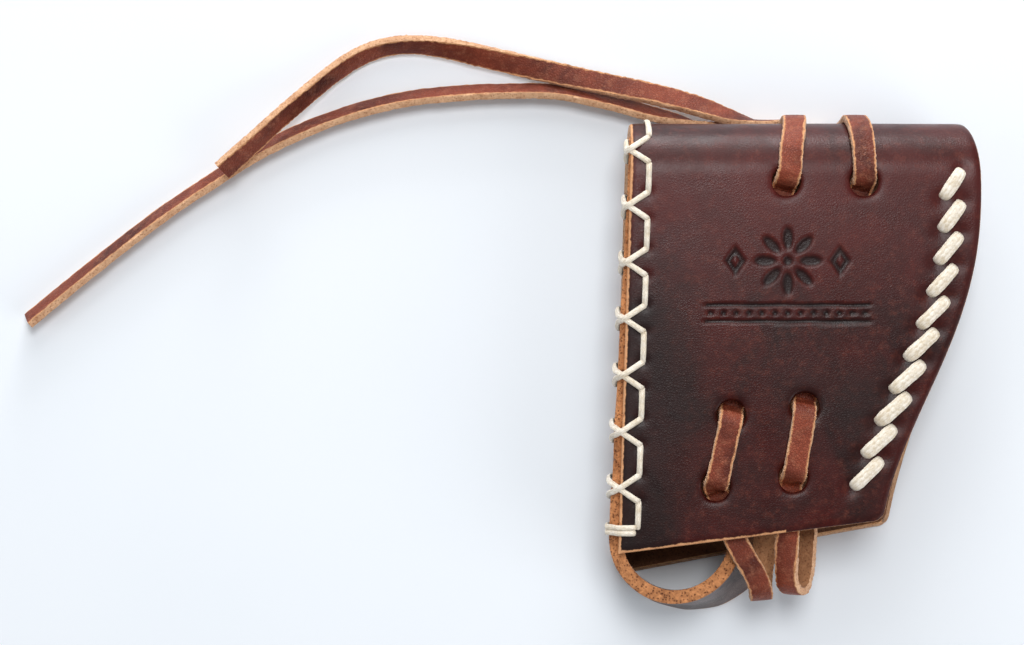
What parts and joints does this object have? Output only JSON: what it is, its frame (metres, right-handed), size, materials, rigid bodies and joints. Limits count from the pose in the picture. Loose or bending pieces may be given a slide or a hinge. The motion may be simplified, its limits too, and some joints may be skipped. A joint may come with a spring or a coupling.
{
  "type": "pick holder",
  "caption": "Folded leather pocket for a pick, with a laced side strip that ends in a loop, thick edge stitches and two flat tie laces with free tails.",
  "frame": {"origin": "middle of the back's outer face, on the surface it rests on", "axes": "+X to the right seen from the front, +Y towards the fold, +Z out of the front"},
  "size_m": [0.2288, 0.136, 0.0282],
  "materials": {
    "hide": "waxed smooth grain",
    "strip": "smooth grain with raw tan edge",
    "lace": "soft pebbled grain with raw tan edge",
    "thread": "waxed braid"
  },
  "bodies": {
    "root": {"leather_wrap": "hide", "side_strip": "strip", "edge_thread": "thread", "saddle_thread": "thread", "lace_left": "lace", "lace_right": "lace", "lace_tail_upper": "lace", "lace_tail_lower": "lace"}
  },
  "joints": []
}
